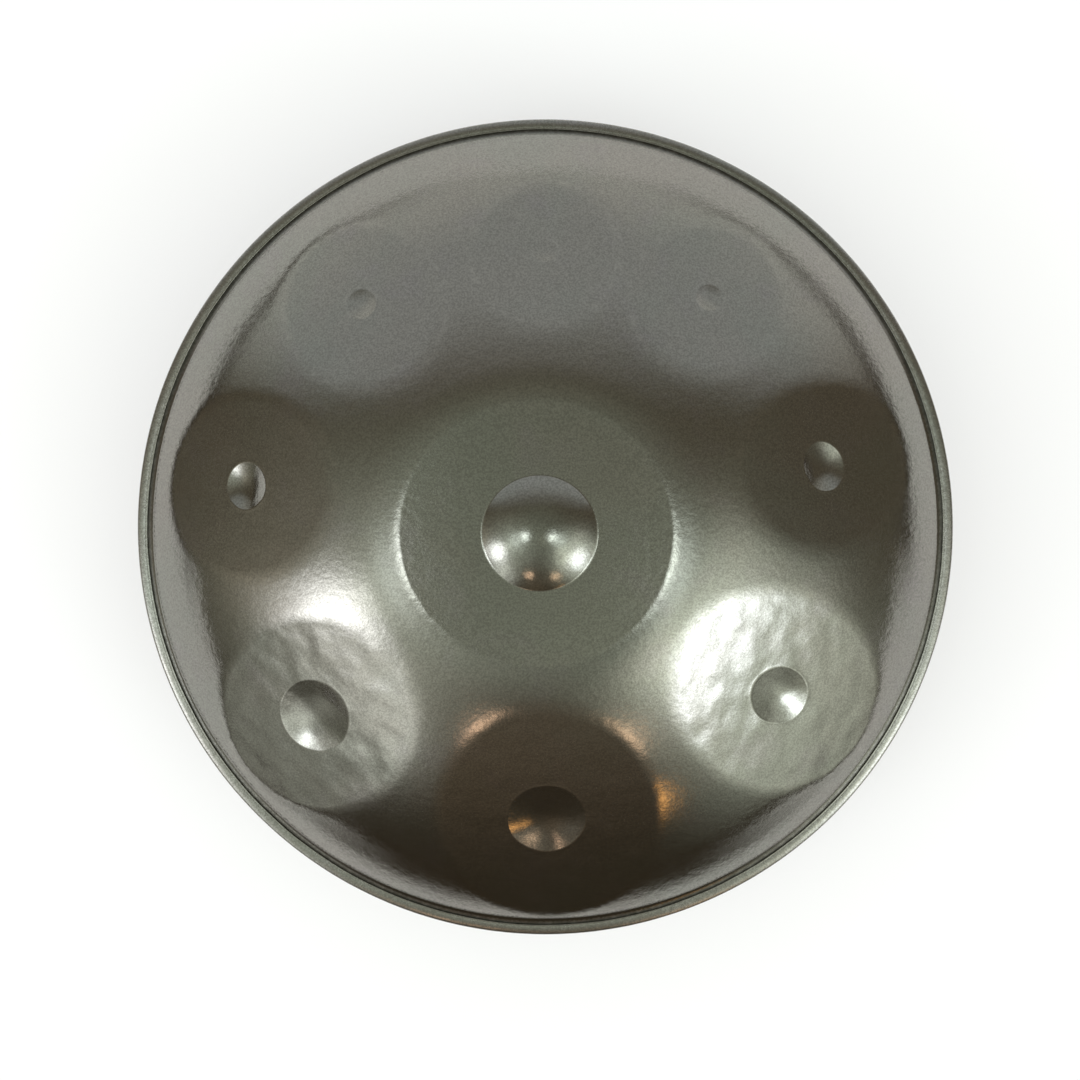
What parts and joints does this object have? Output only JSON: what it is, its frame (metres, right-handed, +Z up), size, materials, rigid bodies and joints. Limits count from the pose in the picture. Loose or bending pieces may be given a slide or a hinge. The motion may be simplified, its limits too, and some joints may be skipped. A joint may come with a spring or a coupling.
{
  "type": "handpan",
  "caption": "Hollow steel handpan: two drawn half-shells joined at a banded rim, a raised centre dome, flattened tone fields with hollows above and a round port below.",
  "frame": {"origin": "on the pan's axis, in the plane of the flat land round the port that the pan stands on", "axes": "+Z up through the raised centre dome; -Y towards the player, where the lowest tone field is; +X to the player's right"},
  "size_m": [0.558, 0.558, 0.2378],
  "materials": {
    "nitrided_steel_top": "satin, heat-nitrided grey-brown with a faint sheen, hammer marks in the tone fields",
    "nitrided_steel_bottom": "satin, heat-nitrided grey-brown",
    "rim_band_steel": "satin folded steel band, slightly lighter than the shells",
    "seam_adhesive": "dark cured adhesive, semi-matte"
  },
  "bodies": {
    "root": {"top_shell": "nitrided_steel_top", "bottom_shell": "nitrided_steel_bottom", "rim_adhesive": "seam_adhesive", "rim_band": "rim_band_steel"}
  },
  "joints": []
}
